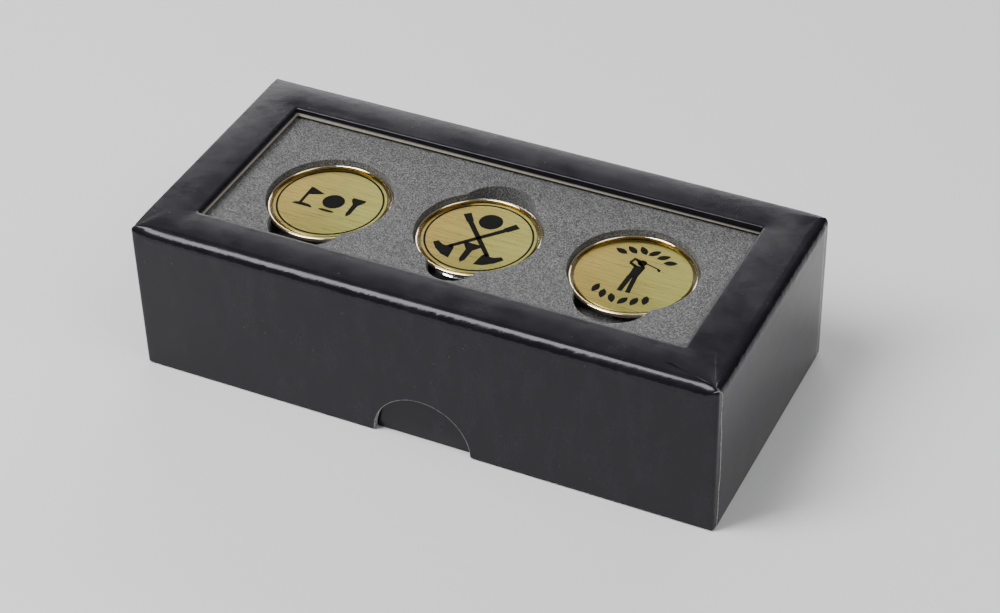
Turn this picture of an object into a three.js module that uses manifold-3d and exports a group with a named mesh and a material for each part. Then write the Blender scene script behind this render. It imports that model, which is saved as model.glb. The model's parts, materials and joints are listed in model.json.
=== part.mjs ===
// A boxed set of three golf ball markers. A black card box with a lift-off lid and a window holds a foam
// insert, and each marker lies in a pocket of its own. The middle marker sits on a magnetic hat clip.
// Millimetres. X runs along the box, Y to the back, Z up. The origin is the middle of the box's underside.

import * as THREE from 'three';
import { mergeVertices } from 'three/addons/utils/BufferGeometryUtils.js';
import Module from 'manifold-3d';

// ---- Driving dimensions -------------------------------------------------------------------------------

// Box
const BOX_LENGTH = 127;
const BOX_WIDTH = 60;
const BOX_HEIGHT = 35;
const PAPER = 0.15; // wrapping paper
const BOARD = 0.9; // grey board of the walls
const LINER = 1.2; // raw board frame glued under the lid's top
const STAY = 0.1; // paper tape round a board corner
const STAY_LEG = 14;
const TOP_FOLD_RADIUS = 1.8;
const LID_CORNER_RADIUS = 1.0;
const TRAY_CORNER_RADIUS = 0.6;
const LEAST_RADIUS = 0.1;
const LID_CLEARANCE = 0.3; // between the lid's lining and the tray
const SKIRT_LIFT = 0.4; // the lid's lower edge stays off the table
const TURN_IN = 12; // paper folded over an edge and glued inside
const WINDOW_LENGTH = 106;
const WINDOW_WIDTH = 40.8;
const WINDOW_X = -0.4; // the window's middle, from the lid's middle
const WINDOW_Y = 0.75;
const WINDOW_TURN_IN = 6;
const NOTCH_RADIUS = 10.8; // half-round thumb notch in the lid's front
const NOTCH_X = 0.8;
const NOTCH_Z = 0.2;
const FOAM_DROP = 0.4; // foam below the tray's rim
const FOAM_CLEARANCE = 0.3;
const FOAM_INSERT_THICKNESS = 14.6;

// Ball markers
const MARKER_RADIUS = 13.15;
const MARKER_THICKNESS = 1.6;
const MARKER_FLOOR = 0.4;
const MARKER_FOOT_RADIUS = 12.4; // the dish's side slopes out from its foot
const MARKER_SIDE_HEIGHT = 1.0;
const MARKER_EDGE = 0.3; // rounding of the rim
const RIM_INNER_RADIUS = 12.35;
const TAPE_RADIUS = 11.3;
const TAPE_THICKNESS = 0.1;
const DISC_RADIUS = 11.8;
const DISC_THICKNESS = 0.5;

// Pockets in the foam
const POCKET_RADIUS = 13.4;
const POCKET_DEPTH = 2.6;
const FINGER_RADIUS = 8.1;
const FINGER_OFFSET = 9.6; // finger hole's centre in front of a side pocket's centre
const FINGER_DEPTH = 4.6;
const CLIP_POCKET_DEPTH = 5.0;
const CLIP_SLOT_FRONT = -11.75; // end centres of the slot under the middle marker
const CLIP_SLOT_FRONT_RADIUS = 5.4;
const CLIP_SLOT_BACK = 8.35;

// Hat clip
const CUP_RADIUS = 12.3;
const CUP_THICKNESS = 2.4;
const CUP_EDGE = 0.4;
const MAGNET_RADIUS = 8;
const MAGNET_GAP = 0.05;
const MAGNET_THICKNESS = 1.6;
const PIVOT_Y = 10; // hinge pin behind the cup's middle
const PIVOT_DROP = 1.6; // hinge pin below the cup
const PIN_RADIUS = 0.6;
const PIN_LENGTH = 14.2;
const PIN_HOLE_RADIUS = 0.66;
const EAR_OUTER_X = 7.2;
const EAR_WIDTH = 1.3;
const EAR_RADIUS = 1.4;
const KNUCKLE_RADIUS = 1.25;
const KNUCKLE_BORE_RADIUS = 0.7;
const KNUCKLE_LENGTH = 11.2;
const LEAF_WIDTH = 10;
const LEAF_THICKNESS = 0.5;
const LEAF_GAP = 0.3; // leaf's highest point below the cup
const LEAF_GRIP_Y = -8.5;
const LEAF_TIP_Y = -12;
const LEAF_TIP_DROP = 1.2;

// Number of sides of round pieces
const ROUND_SIDES = 72;
const PIN_SIDES = 16;
const CORNER_STEPS = 4;
const FOLD_STEPS = 5;

// ---- Sizes that follow --------------------------------------------------------------------------------

// Insets are measured inwards from the lid's outer faces.
const LID_BOARD_INSET = PAPER;
const LID_CAVITY_INSET = LID_BOARD_INSET + BOARD;
const LID_LINING_INSET = LID_CAVITY_INSET + PAPER;
const TRAY_INSET = LID_LINING_INSET + LID_CLEARANCE;
const TRAY_BOARD_INSET = TRAY_INSET + PAPER;
const TRAY_CAVITY_INSET = TRAY_BOARD_INSET + BOARD;
const TRAY_LINING_INSET = TRAY_CAVITY_INSET + PAPER;
const FOAM_INSET = TRAY_LINING_INSET + FOAM_CLEARANCE;

const LID_BOARD_TOP = BOX_HEIGHT - PAPER;
const LID_BOARD_UNDERSIDE = LID_BOARD_TOP - BOARD;
const LINER_TOP = LID_BOARD_UNDERSIDE - PAPER;
const TRAY_RIM = LINER_TOP - LINER;
const TRAY_FLOOR = PAPER + BOARD;
const FOAM_TOP = TRAY_RIM - FOAM_DROP;
const FOAM_SPLIT = FOAM_TOP - FOAM_INSERT_THICKNESS;
const OVER = 1; // how far a cutting tool runs past what it cuts

const SIDE_MARKER_Z = FOAM_TOP - POCKET_DEPTH;
const CLIP_Z = FOAM_TOP - CLIP_POCKET_DEPTH;

// The row of markers runs a little to the back from left to right.
const MARKERS = [
  { name: 'left', x: -33.5, y: -1.2, z: SIDE_MARKER_Z },
  { name: 'middle', x: -0.25, y: 0.25, z: CLIP_Z + CUP_THICKNESS },
  { name: 'right', x: 33.1, y: 1.3, z: SIDE_MARKER_Z },
];
const SIDE_MARKERS = MARKERS.filter((marker) => marker.name !== 'middle');
const MIDDLE = MARKERS.find((marker) => marker.name === 'middle');

// ---- Materials ----------------------------------------------------------------------------------------

const material = (color, roughness, metalness) =>
  new THREE.MeshStandardMaterial({ color, roughness, metalness });

const blackPaper = material(0x252528, 0.42, 0);
const greyBoard = material(0x9b9484, 0.9, 0);
const stayPaper = material(0xcdc6b4, 0.85, 0);
const foam = material(0x6f6f74, 0.95, 0);
const goldPlate = material(0xcfa24a, 0.14, 1);
const brushedBrass = material(0xb8a468, 0.34, 1);
const tape = material(0xe4e0d4, 0.7, 0);
const nickelPlate = material(0xc8c8cc, 0.18, 1);
const springSteel = material(0xb4b6ba, 0.28, 1);
const magnetMetal = material(0xa2a4a8, 0.3, 1);

// ---- Solids -------------------------------------------------------------------------------------------

const wasm = await Module();
wasm.setup();

// Turns a closed three.js geometry into a solid that can be joined and cut.
function solid(geometry) {
  const bare = geometry.clone();
  bare.deleteAttribute('normal');
  bare.deleteAttribute('uv');
  const merged = mergeVertices(bare, 1e-5);
  const index = merged.index.array;
  const triangles = [];
  for (let i = 0; i < index.length; i += 3) {
    const [a, b, c] = [index[i], index[i + 1], index[i + 2]];
    if (a !== b && b !== c && c !== a) triangles.push(a, b, c);
  }
  const vertProperties = new Float32Array(merged.attributes.position.array);
  const triVerts = new Uint32Array(triangles);
  return new wasm.Manifold(new wasm.Mesh({ numProp: 3, vertProperties, triVerts }));
}

function geometryOf(body) {
  const mesh = body.getMesh();
  const geometry = new THREE.BufferGeometry();
  geometry.setAttribute('position', new THREE.BufferAttribute(new Float32Array(mesh.vertProperties), 3));
  geometry.setIndex(new THREE.BufferAttribute(new Uint32Array(mesh.triVerts), 1));
  const flat = geometry.toNonIndexed();
  flat.computeVertexNormals();
  return flat;
}

const cut = (body, ...tools) => tools.reduce((left, tool) => left.subtract(tool), body);
const join = (...bodies) => bodies.reduce((all, body) => all.add(body));

// The outline of the box, inset from the lid's outer faces, as a loop of points with round corners.
function outline(inset, radius, z) {
  const points = [];
  const turns = [[1, 1], [-1, 1], [-1, -1], [1, -1]];
  turns.forEach(([signX, signY], corner) => {
    const centreX = signX * (BOX_LENGTH / 2 - inset - radius);
    const centreY = signY * (BOX_WIDTH / 2 - inset - radius);
    for (let step = 0; step <= CORNER_STEPS; step += 1) {
      const angle = (corner + step / CORNER_STEPS) * Math.PI / 2;
      points.push([centreX + radius * Math.cos(angle), centreY + radius * Math.sin(angle), z]);
    }
  });
  return points;
}

// A closed block with the box's outline: round upright corners and, if asked, a rounded top edge.
function block(inset, bottom, top, cornerRadius, foldRadius = 0) {
  const levels = [[0, bottom], [0, top - foldRadius]];
  for (let step = 1; step <= FOLD_STEPS && foldRadius > 0; step += 1) {
    const angle = (step / FOLD_STEPS) * Math.PI / 2;
    levels.push([foldRadius * (1 - Math.cos(angle)), top - foldRadius * (1 - Math.sin(angle))]);
  }
  const rings = levels.map(([shrink, z]) =>
    outline(inset + shrink, Math.max(cornerRadius - shrink, LEAST_RADIUS), z));
  const count = rings[0].length;
  const positions = [...rings.flat(2), 0, 0, bottom, 0, 0, top];
  const bottomCentre = rings.length * count;
  const topCentre = bottomCentre + 1;
  const triangles = [];
  for (let i = 0; i < count; i += 1) {
    const next = (i + 1) % count;
    triangles.push(bottomCentre, next, i);
    for (let ring = 0; ring < rings.length - 1; ring += 1) {
      const low = ring * count;
      const high = low + count;
      triangles.push(low + i, low + next, high + next, low + i, high + next, high + i);
    }
    const last = (rings.length - 1) * count;
    triangles.push(last + i, last + next, topCentre);
  }
  const geometry = new THREE.BufferGeometry();
  geometry.setAttribute('position', new THREE.Float32BufferAttribute(positions, 3));
  geometry.setIndex(triangles);
  return solid(geometry);
}

const lidBlock = (inset, bottom, top, foldRadius = 0) =>
  block(inset, bottom, top, Math.max(LID_CORNER_RADIUS - inset, LEAST_RADIUS), foldRadius);

const trayBlock = (inset, bottom, top) =>
  block(inset, bottom, top, Math.max(TRAY_CORNER_RADIUS - (inset - TRAY_INSET), LEAST_RADIUS));

function box(sizeX, sizeY, bottom, top, x = 0, y = 0) {
  const geometry = new THREE.BoxGeometry(sizeX, sizeY, top - bottom);
  geometry.translate(x, y, (bottom + top) / 2);
  return solid(geometry);
}

// A block the size of the lid's window, made wider all round by a margin.
const windowBlock = (margin, bottom, top) =>
  box(WINDOW_LENGTH + 2 * margin, WINDOW_WIDTH + 2 * margin, bottom, top, WINDOW_X, WINDOW_Y);

// A round bar along Z.
function barZ(radius, bottom, top, x = 0, y = 0, sides = ROUND_SIDES) {
  const geometry = new THREE.CylinderGeometry(radius, radius, top - bottom, sides);
  geometry.rotateX(Math.PI / 2);
  geometry.translate(x, y, (bottom + top) / 2);
  return geometry;
}

// A round bar along X, its middle at x.
function barX(radius, length, x, y, z, sides = PIN_SIDES) {
  const geometry = new THREE.CylinderGeometry(radius, radius, length, sides);
  geometry.rotateZ(Math.PI / 2);
  geometry.translate(x, y, z);
  return geometry;
}

// A flat shape drawn in Y and Z, made into a bar along X about x = 0.
function extrudeX(shape, length) {
  const geometry = new THREE.ExtrudeGeometry(shape, { depth: length, bevelEnabled: false });
  geometry.applyMatrix4(new THREE.Matrix4().set(0, 0, 1, -length / 2, 1, 0, 0, 0, 0, 1, 0, 0, 0, 0, 0, 1));
  return geometry;
}

// A piece turned about Z from a profile of [radius, height] points.
function turned(profile) {
  const points = profile.map(([radius, height]) => new THREE.Vector2(radius, height));
  const geometry = new THREE.LatheGeometry(points, ROUND_SIDES);
  geometry.rotateX(Math.PI / 2);
  return geometry;
}

// ---- Assembly -----------------------------------------------------------------------------------------

const group = new THREE.Group();

function addMesh(name, geometry, look, parent = group) {
  const mesh = new THREE.Mesh(geometry, look);
  mesh.name = name;
  parent.add(mesh);
  return mesh;
}

const addBody = (name, body, look, parent = group) => addMesh(name, geometryOf(body), look, parent);

// Paper tapes that hold a folded board's corners, let into the board's outer face.
function cornerStays(shell, bottom, top) {
  const corners = [
    { name: 'front_left', signX: -1, signY: -1 },
    { name: 'front_right', signX: 1, signY: -1 },
    { name: 'back_left', signX: -1, signY: 1 },
    { name: 'back_right', signX: 1, signY: 1 },
  ];
  return corners.map(({ name, signX, signY }) => {
    const x = signX * BOX_LENGTH / 2;
    const y = signY * BOX_WIDTH / 2;
    const body = shell.intersect(box(2 * STAY_LEG, 2 * STAY_LEG, bottom, top, x, y));
    return { name, body };
  });
}

function addTray() {
  const outer = trayBlock(TRAY_INSET, 0, TRAY_RIM);
  const boardOuter = trayBlock(TRAY_BOARD_INSET, PAPER, TRAY_RIM - PAPER);
  const cavity = trayBlock(TRAY_CAVITY_INSET, TRAY_FLOOR, TRAY_RIM + OVER);
  const insideLining = trayBlock(TRAY_LINING_INSET, TRAY_FLOOR, TRAY_RIM + OVER);

  const shell = cut(boardOuter, trayBlock(TRAY_BOARD_INSET + STAY, 0, TRAY_RIM));
  const stays = cornerStays(shell, TRAY_FLOOR, TRAY_RIM - TURN_IN / 4);
  const board = cut(boardOuter, cavity, ...stays.map((stay) => stay.body));
  const liningTop = trayBlock(TRAY_BOARD_INSET, TRAY_RIM - PAPER, TRAY_RIM);
  const lining = cut(
    join(trayBlock(TRAY_CAVITY_INSET, TRAY_RIM - TURN_IN, TRAY_RIM), liningTop),
    insideLining,
  );
  const wrap = join(cut(outer, boardOuter, cavity), lining);

  addBody('tray_board', board, greyBoard);
  stays.forEach((stay) => addBody(`tray_corner_stay_${stay.name}`, stay.body, stayPaper));
  addBody('tray_wrap', wrap, blackPaper);
}

function addLid() {
  const notch = new THREE.CylinderGeometry(NOTCH_RADIUS, NOTCH_RADIUS, BOX_WIDTH / 4, ROUND_SIDES);
  notch.translate(NOTCH_X, -BOX_WIDTH / 2, NOTCH_Z);
  const notchTool = solid(notch);

  const outer = lidBlock(0, SKIRT_LIFT, BOX_HEIGHT, TOP_FOLD_RADIUS);
  const boardOuter = lidBlock(LID_BOARD_INSET, SKIRT_LIFT + PAPER, LID_BOARD_TOP, TOP_FOLD_RADIUS - PAPER);
  const cavity = lidBlock(LID_CAVITY_INSET, -OVER, LID_BOARD_UNDERSIDE);
  const insideLining = lidBlock(LID_LINING_INSET, -OVER, LID_BOARD_UNDERSIDE);
  const window = windowBlock(0, 0, BOX_HEIGHT + OVER);
  const boardWindow = windowBlock(PAPER, 0, BOX_HEIGHT + OVER);

  const shell = cut(boardOuter, lidBlock(LID_BOARD_INSET + STAY, 0, BOX_HEIGHT));
  const stayTop = LID_BOARD_TOP - TOP_FOLD_RADIUS;
  const stays = cornerStays(shell, SKIRT_LIFT + 2 * BOARD, stayTop - BOARD);
  const board = cut(boardOuter, cavity, boardWindow, notchTool, ...stays.map((stay) => stay.body));

  const lowerEdge = lidBlock(LID_BOARD_INSET, SKIRT_LIFT, SKIRT_LIFT + PAPER);
  const lining = cut(
    join(lidBlock(LID_CAVITY_INSET, SKIRT_LIFT, SKIRT_LIFT + TURN_IN), lowerEdge),
    insideLining,
  );
  const windowEdge = windowBlock(PAPER, LID_BOARD_UNDERSIDE - PAPER, BOX_HEIGHT);
  const windowTurnIn = windowBlock(WINDOW_TURN_IN, LID_BOARD_UNDERSIDE - PAPER, LID_BOARD_UNDERSIDE);
  const skin = cut(outer, boardOuter, cavity);
  const wrap = cut(join(skin, lining, windowEdge, windowTurnIn), window, notchTool);
  const liner = cut(lidBlock(LID_LINING_INSET + FOAM_CLEARANCE, TRAY_RIM, LINER_TOP), window);

  addBody('lid_board', board, greyBoard);
  stays.forEach((stay) => addBody(`lid_corner_stay_${stay.name}`, stay.body, stayPaper));
  addBody('lid_wrap', wrap, blackPaper);
  addBody('lid_window_liner', liner, greyBoard);
}

// The tapered slot below the hat clip, round at both ends, which show past the marker as finger holes.
function clipSlot() {
  const shape = new THREE.Shape();
  shape.absarc(0, CLIP_SLOT_BACK, FINGER_RADIUS, 0, Math.PI);
  shape.absarc(0, CLIP_SLOT_FRONT, CLIP_SLOT_FRONT_RADIUS, Math.PI, 2 * Math.PI);
  shape.closePath();
  const options = { depth: FOAM_INSERT_THICKNESS + 2 * OVER, bevelEnabled: false, curveSegments: 32 };
  const geometry = new THREE.ExtrudeGeometry(shape, options);
  geometry.translate(MIDDLE.x, MIDDLE.y, FOAM_SPLIT - OVER);
  return solid(geometry);
}

function addFoam() {
  const above = FOAM_TOP + OVER;
  const sidePockets = SIDE_MARKERS.flatMap(({ x, y }) => [
    solid(barZ(POCKET_RADIUS, FOAM_TOP - POCKET_DEPTH, above, x, y)),
    solid(barZ(FINGER_RADIUS, FOAM_TOP - FINGER_DEPTH, above, x, y - FINGER_OFFSET)),
  ]);
  const clipPocket = solid(barZ(POCKET_RADIUS, CLIP_Z, above, MIDDLE.x, MIDDLE.y));
  const insert = cut(trayBlock(FOAM_INSET, FOAM_SPLIT, FOAM_TOP), ...sidePockets, clipPocket, clipSlot());

  addBody('foam_base', trayBlock(FOAM_INSET, TRAY_FLOOR, FOAM_SPLIT), foam);
  addBody('foam_insert', insert, foam);
}

// A gold-plated dish with a raised rim, and a brass disc taped down inside it.
function addMarker({ name, x, y, z }) {
  const marker = new THREE.Group();
  marker.position.set(x, y, z);
  group.add(marker);

  const slope = MARKER_EDGE * 0.3;
  const dish = turned([
    [0, 0],
    [MARKER_FOOT_RADIUS, 0],
    [MARKER_RADIUS, MARKER_SIDE_HEIGHT],
    [MARKER_RADIUS, MARKER_THICKNESS - MARKER_EDGE],
    [MARKER_RADIUS - slope, MARKER_THICKNESS - slope],
    [MARKER_RADIUS - MARKER_EDGE, MARKER_THICKNESS],
    [RIM_INNER_RADIUS + slope, MARKER_THICKNESS],
    [RIM_INNER_RADIUS, MARKER_THICKNESS - slope],
    [RIM_INNER_RADIUS, MARKER_FLOOR],
    [0, MARKER_FLOOR],
  ]);
  const tapeTop = MARKER_FLOOR + TAPE_THICKNESS;
  addMesh(`marker_${name}_dish`, dish, goldPlate, marker);
  addMesh(`marker_${name}_tape`, barZ(TAPE_RADIUS, MARKER_FLOOR, tapeTop), tape, marker);
  addMesh(`marker_${name}_disc`, barZ(DISC_RADIUS, tapeTop, tapeTop + DISC_THICKNESS), brushedBrass, marker);
}

// A leaf of spring steel, rolled round the hinge pin, that presses up against the cup.
function clipTongue() {
  const pivotZ = -PIVOT_DROP;
  const rootZ = pivotZ - KNUCKLE_RADIUS + LEAF_THICKNESS;
  const leaf = new THREE.Shape();
  leaf.moveTo(PIVOT_Y, rootZ);
  leaf.lineTo(LEAF_GRIP_Y, -LEAF_GAP);
  leaf.lineTo(LEAF_TIP_Y, -LEAF_GAP - LEAF_TIP_DROP);
  leaf.lineTo(LEAF_TIP_Y, -LEAF_GAP - LEAF_TIP_DROP - LEAF_THICKNESS);
  leaf.lineTo(LEAF_GRIP_Y, -LEAF_GAP - LEAF_THICKNESS);
  leaf.lineTo(PIVOT_Y, rootZ - LEAF_THICKNESS);
  leaf.closePath();
  const knuckle = solid(barX(KNUCKLE_RADIUS, KNUCKLE_LENGTH, 0, PIVOT_Y, pivotZ));
  const bore = solid(barX(KNUCKLE_BORE_RADIUS, KNUCKLE_LENGTH + OVER, 0, PIVOT_Y, pivotZ));
  return cut(join(solid(extrudeX(leaf, LEAF_WIDTH)), knuckle), bore);
}

function addHatClip() {
  const clip = new THREE.Group();
  clip.position.set(MIDDLE.x, MIDDLE.y, CLIP_Z);
  group.add(clip);

  const recess = MAGNET_RADIUS + MAGNET_GAP;
  const recessFloor = CUP_THICKNESS - MAGNET_THICKNESS;
  const cup = solid(turned([
    [0, 0],
    [CUP_RADIUS - CUP_EDGE, 0],
    [CUP_RADIUS, CUP_EDGE],
    [CUP_RADIUS, CUP_THICKNESS - CUP_EDGE],
    [CUP_RADIUS - CUP_EDGE, CUP_THICKNESS],
    [recess, CUP_THICKNESS],
    [recess, recessFloor],
    [0, recessFloor],
  ]));
  const ears = [-1, 1].map((side) => {
    const x = side * (EAR_OUTER_X - EAR_WIDTH / 2);
    const web = box(EAR_WIDTH, 2 * EAR_RADIUS, -PIVOT_DROP, recessFloor / 2, x, PIVOT_Y);
    return join(web, solid(barX(EAR_RADIUS, EAR_WIDTH, x, PIVOT_Y, -PIVOT_DROP)));
  });
  const pinHole = solid(barX(PIN_HOLE_RADIUS, 2 * EAR_OUTER_X + OVER, 0, PIVOT_Y, -PIVOT_DROP));

  addBody('hat_clip_cup', cut(join(cup, ...ears), pinHole), nickelPlate, clip);
  addMesh('hat_clip_magnet', barZ(MAGNET_RADIUS, recessFloor, CUP_THICKNESS), magnetMetal, clip);
  addMesh('hat_clip_pin', barX(PIN_RADIUS, PIN_LENGTH, 0, PIVOT_Y, -PIVOT_DROP), springSteel, clip);
  addBody('hat_clip_tongue', clipTongue(), springSteel, clip);
}

addTray();
addFoam();
addLid();
MARKERS.forEach(addMarker);
addHatClip();

export default group;
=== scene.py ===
"""A boxed set of three golf ball markers: the looks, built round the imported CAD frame."""

import json
import math

import bmesh
import bpy
import numpy as np
from mathutils import Matrix, Vector


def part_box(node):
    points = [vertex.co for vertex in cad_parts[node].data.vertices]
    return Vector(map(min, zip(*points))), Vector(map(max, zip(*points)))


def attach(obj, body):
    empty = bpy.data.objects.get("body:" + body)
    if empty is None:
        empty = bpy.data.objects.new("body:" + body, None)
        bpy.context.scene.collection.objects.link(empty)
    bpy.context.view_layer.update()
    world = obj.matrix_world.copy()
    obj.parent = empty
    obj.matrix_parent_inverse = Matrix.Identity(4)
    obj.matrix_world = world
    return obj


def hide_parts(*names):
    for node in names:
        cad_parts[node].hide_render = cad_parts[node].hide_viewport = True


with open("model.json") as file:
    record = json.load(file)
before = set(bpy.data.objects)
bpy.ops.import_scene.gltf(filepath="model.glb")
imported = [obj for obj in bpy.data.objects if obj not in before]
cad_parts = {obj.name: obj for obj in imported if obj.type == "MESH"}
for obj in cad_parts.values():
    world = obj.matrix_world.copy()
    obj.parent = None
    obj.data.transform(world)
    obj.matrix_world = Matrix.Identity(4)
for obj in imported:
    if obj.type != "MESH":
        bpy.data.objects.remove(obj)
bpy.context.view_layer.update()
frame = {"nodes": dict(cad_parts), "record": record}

# ---- Sizes, in metres --------------------

MM = 0.001
PAPER = 0.15 * MM
BOARD = 0.9 * MM
TURN_IN = 12 * MM
FOLD_RADII = (2.4 * MM, 0.9 * MM, 0.8 * MM, 2.6 * MM)  # the lid's top edges: right, back, left and front
POINTED_FOLD = 0.9 * MM  # the same at the two front corners
POINTED_LENGTH = 1.7 * MM
LEAST_FOLD = 0.05 * MM
SIDE_BLEND = 1.5 * MM  # how far round a corner one side's value reaches
CORNER_RADIUS = 0.7 * MM  # the lid's upright corners
TRAY_CORNER_RADIUS = 0.6 * MM
WINDOW = (53.0 * MM, 20.4 * MM)  # half length and half width
WINDOW_MIDDLE = (-0.4 * MM, 0.75 * MM)
WINDOW_CORNER = 0.25 * MM
WINDOW_LEAST_RADIUS = 0.02 * MM
WINDOW_FOLDS = (0.35 * MM, 0.3 * MM, 0.75 * MM, 0.5 * MM)  # right, back, left and front
WINDOW_DIP = 0.11 * MM  # the paper sinks this much towards the window
WINDOW_DIP_WIDTH = 2.6 * MM
WINDOW_TURN_IN = 6 * MM
NOTCH_RADIUS = 10.75 * MM
NOTCH_X = 0.8 * MM
NOTCH_Z = 0.2 * MM
NOTCH_FRAY = 0.11 * MM  # width of the pale line round the notch
SEAM_STEP = 0.09 * MM  # the end flaps stand this much over the paper they cover
SEAM_PLACE = 1.2 * MM  # from the lid's rounded corners
SEAM_WIDTH = 0.3 * MM
SKIN_DEPTH = 0.335 * MM  # faces this close to the lid's ends belong to its outer skin
FOLD_ZONE = (32.0 * MM, 32.8 * MM, 33.9 * MM, 34.7 * MM)  # heights where the stretched paper is wrinkled
LINER_SLOPE = 0.0040  # the painted shade on the liner's edge reaches lower towards the right
LINER_SHADE_HEIGHTS = (33.25 * MM, 33.75 * MM)  # heights between which the painted shade turns the edge from pale to black
HIGHLIGHT_STRIP_PATH = [  # a painted highlight: the pale strip laid round the front right corner, in millimetres
    (62.1, -29.72, 34.30),
    (62.55, -29.70, 34.62),
    (62.95, -29.55, 34.82),
    (63.25, -29.2, 34.72),
    (63.42, -28.95, 34.3),
    (63.46, -28.9, 33.7),
]
HIGHLIGHT_STRIP_WIDTH = 0.08 * MM
TRAY_FOOT_FOLD = 0.3 * MM  # rounding of the tray's lower edge
TRAY_RIM_FOLD = 0.2 * MM
LEAST_RADIUS = 0.1 * MM  # of an upright corner's inner faces
LOOSE_DEPTH = 0.022 * MM  # of the waves in the paper below the top edge
LOOSE_REACH = 1.8 * MM  # the waves run this far down over the rounded edge
LOOSE_CREST = (0.7 * MM, 0.9 * MM)  # height below the top and spread of the upper waves
LOOSE_LOWER = (2.6 * MM, 1.1 * MM)

POCKET_RADIUS = 13.25 * MM
POCKET_DEPTH = 2.6 * MM
FINGER_RADIUS = 8.1 * MM
FINGER_OFFSET = 9.6 * MM
FINGER_DEPTH = 4.6 * MM
CLIP_POCKET_DEPTH = 5.0 * MM
CLIP_SLOT_FRONT = -11.75 * MM
CLIP_SLOT_FRONT_RADIUS = 5.4 * MM
CLIP_SLOT_BACK = 8.35 * MM
FOAM_LIP = 0.16 * MM  # rounding of the foam's cut edges

RIM_INNER_RADIUS = 12.35 * MM
DISC_RADIUS = 11.8 * MM
RING_RADIUS = 11.0 * MM
RING_WIDTH = 0.42 * MM
MARKER_FOOT_RADIUS = 12.4 * MM
MARKER_SIDE_HEIGHT = 1.0 * MM
MARKER_FLOOR = 0.4 * MM
RIM_DROP = 0.12 * MM  # the stamped rim is this much lower than the CAD's
DISC_RAISE = 0.14 * MM  # the disc's top is this much higher than the CAD's
DISH_FOOT_ROUND = 0.25 * MM
RIM_CROWN = 0.4 * MM  # height of the round top of the rim
DISC_BEVEL = 0.09 * MM
INK_HEIGHT = 0.012 * MM

LONG_SIDE_STEPS = 150
SHORT_SIDE_STEPS = 70
CORNER_STEPS = 8
ROUND_SIDES = 160
CUTTER_SIDES = 128
CIRCLE_STEPS = 28

# ---- Camera and light --------------------

CAMERA_AZIMUTH = 26.40  # degrees to the right of the box's front
CAMERA_ELEVATION = 38.28
CAMERA_ROLL = -1.56
CAMERA_DISTANCE = 0.5106  # metres, as its aim
CAMERA_LENS = 90.68  # millimetres
CAMERA_AIM = Vector((0.0060, -0.0036, 0.0178))
WORLD_STRENGTH = 0.25
FLOOR_HALF = 3.0  # metres
FLOOR_STEPS = 24
LIGHTS = {  # degrees left of the back, degrees up, distance and size in metres, watts
    "front_left": (133, 58, 0.85, (0.30, 0.62), 9.5),
    "back_left": (12, 27, 1.4, (1.5, 0.34), 10.5),
    "right": (-100, 52, 0.9, (0.5, 0.5), 2.4),
}

# ---- Mesh helpers --------------------


def add_object(name, data):
    obj = bpy.data.objects.new(name, data)
    bpy.context.scene.collection.objects.link(obj)
    return obj


def new_object(name, verts, faces, materials, face_materials=None):
    """A mesh object with smooth shading and sharp edges where faces meet at a clear angle."""
    mesh = bpy.data.meshes.new(name)
    mesh.from_pydata([tuple(v) for v in verts], [], faces)
    for look in materials:
        mesh.materials.append(look)
    if face_materials is not None:
        mesh.polygons.foreach_set("material_index", face_materials)
    obj = add_object(name, mesh)
    smooth(obj)
    return obj


def smooth(obj, sharp_deg=40):
    """Smooth shading, with sharp edges where faces meet at more than that angle."""
    obj.data.shade_smooth()
    obj.data.set_sharp_from_angle(angle=math.radians(sharp_deg))


def outline(half_x, half_y, least_radius, full_radius, inset=0.0):
    """A rectangle with round corners, as (x, y) rows, shrunk by an inset that may differ between points.

    It runs counter-clockwise: right side, back, left side and front, a corner after each. The points keep
    the same places along the sides at every inset."""
    count = len(STATIONS)
    inset = np.full(count, inset) if np.isscalar(inset) else inset
    radius = np.maximum(full_radius - inset, least_radius)
    reach = np.stack([half_x - inset - radius, half_y - inset - radius], 1)
    ends = []
    for corner, angle in (STATIONS[:, 0:2].T, STATIONS[:, 3:5].T):
        signs = CORNER_SIGNS[corner.astype(int)]
        bend = np.stack([np.cos(angle), np.sin(angle)], 1)
        ends.append(signs * reach + radius[:, None] * bend)
    share = STATIONS[:, 2:3]
    return ends[0] * (1 - share) + ends[1] * share


def make_stations():
    """Rows of (corner, angle, share) twice: each point lies that share of the way between the two."""
    rows = []
    for turn in range(4):
        before, start = (turn - 1) % 4, turn * math.pi / 2
        rows += [(before, start, share, turn, start, share) for share in SIDE_SHARES[turn]]
        bend = np.linspace(0, math.pi / 2, CORNER_STEPS + 1)
        rows += [(turn, start + a, 0, turn, start + a, 0) for a in bend]
    return np.array(rows)


def front_shares():
    """Places along the lid's front, as shares of its straight part, close together at the notch."""
    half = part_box("lid_wrap")[1].x - CORNER_RADIUS
    notch = NOTCH_X - NOTCH_RADIUS * np.cos(np.linspace(0, math.pi, 65))
    frayed = NOTCH_RADIUS + NOTCH_FRAY
    clear = NOTCH_RADIUS + 3 * NOTCH_FRAY
    left = np.linspace(-half, NOTCH_X - clear, 70)[1:]
    right = np.linspace(NOTCH_X + clear, half, 70)[:-1]
    places = np.concatenate([left, [NOTCH_X - frayed], notch, [NOTCH_X + frayed], right])
    return (places + half) / (2 * half)


def end_shares():
    """Places along the lid's ends, with a close pair at each seam."""
    length = 2 * (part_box("lid_wrap")[1].y - CORNER_RADIUS)
    pair = np.array([0.45 * SEAM_PLACE, SEAM_PLACE, SEAM_PLACE + SEAM_WIDTH]) / length
    gap = 2 * SEAM_WIDTH / length
    middle = np.linspace(pair[-1] + gap, 1 - pair[-1] - gap, SHORT_SIDE_STEPS)
    return np.concatenate([pair, middle, 1 - pair[::-1]])


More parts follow.
